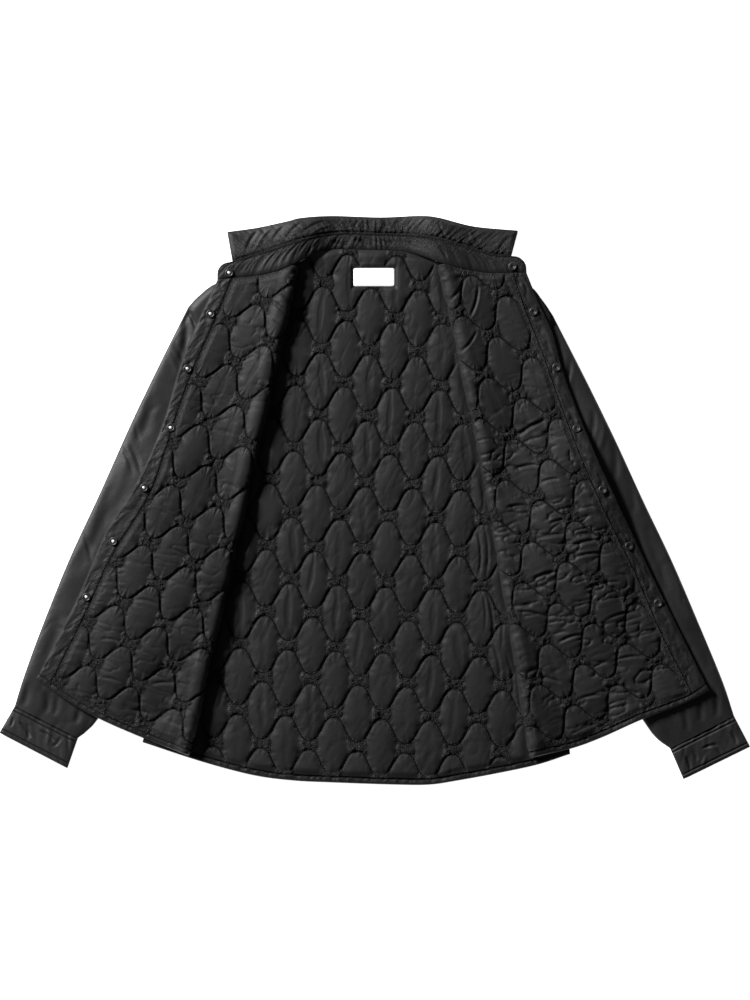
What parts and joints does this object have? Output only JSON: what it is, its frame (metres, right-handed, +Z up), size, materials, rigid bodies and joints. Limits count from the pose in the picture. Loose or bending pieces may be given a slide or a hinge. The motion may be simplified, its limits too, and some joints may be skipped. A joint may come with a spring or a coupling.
{
  "type": "insulated overshirt",
  "caption": "Quilted, insulated overshirt in dark nylon laid open on a flat surface, lining up, fronts folded out over the sleeves, with a shirt collar and a snap front",
  "frame": {"origin": "on the surface the garment lies on, under the middle of its outline", "axes": "+X to the wearer's left side, across both sleeves; +Y from the hem towards the collar; +Z up from the surface, towards the lining"},
  "size_m": [1.0796, 0.8182, 0.0332],
  "materials": {
    "shell": "fine nylon taffeta with a soft sheen",
    "lining": "quilted nylon taffeta with a soft sheen",
    "binding": "nylon facing and binding, puckered along its stitching",
    "label": "white woven satin, bare",
    "snap": "satin black enamel"
  },
  "bodies": {
    "root": {"back_shell": "shell", "back_lining": "lining", "front_right_shell": "shell", "front_left_shell": "shell", "front_right_lining": "lining", "front_left_lining": "lining", "placket_right": "binding", "placket_left": "binding", "hem_back": "binding", "hem_front_right": "binding", "hem_front_left": "binding", "sleeve_right": "shell", "sleeve_left": "shell", "cuff_right": "shell", "cuff_left": "shell", "collar_stand": "shell", "collar_leaf": "shell", "label": "label", "snap_right_1": "snap", "snap_right_2": "snap", "snap_right_3": "snap", "snap_right_4": "snap", "snap_right_5": "snap", "snap_right_6": "snap", "snap_right_7": "snap", "snap_left_1": "snap", "snap_left_2": "snap", "snap_left_3": "snap", "snap_left_4": "snap", "snap_left_5": "snap", "snap_left_6": "snap", "snap_left_7": "snap"}
  },
  "joints": []
}
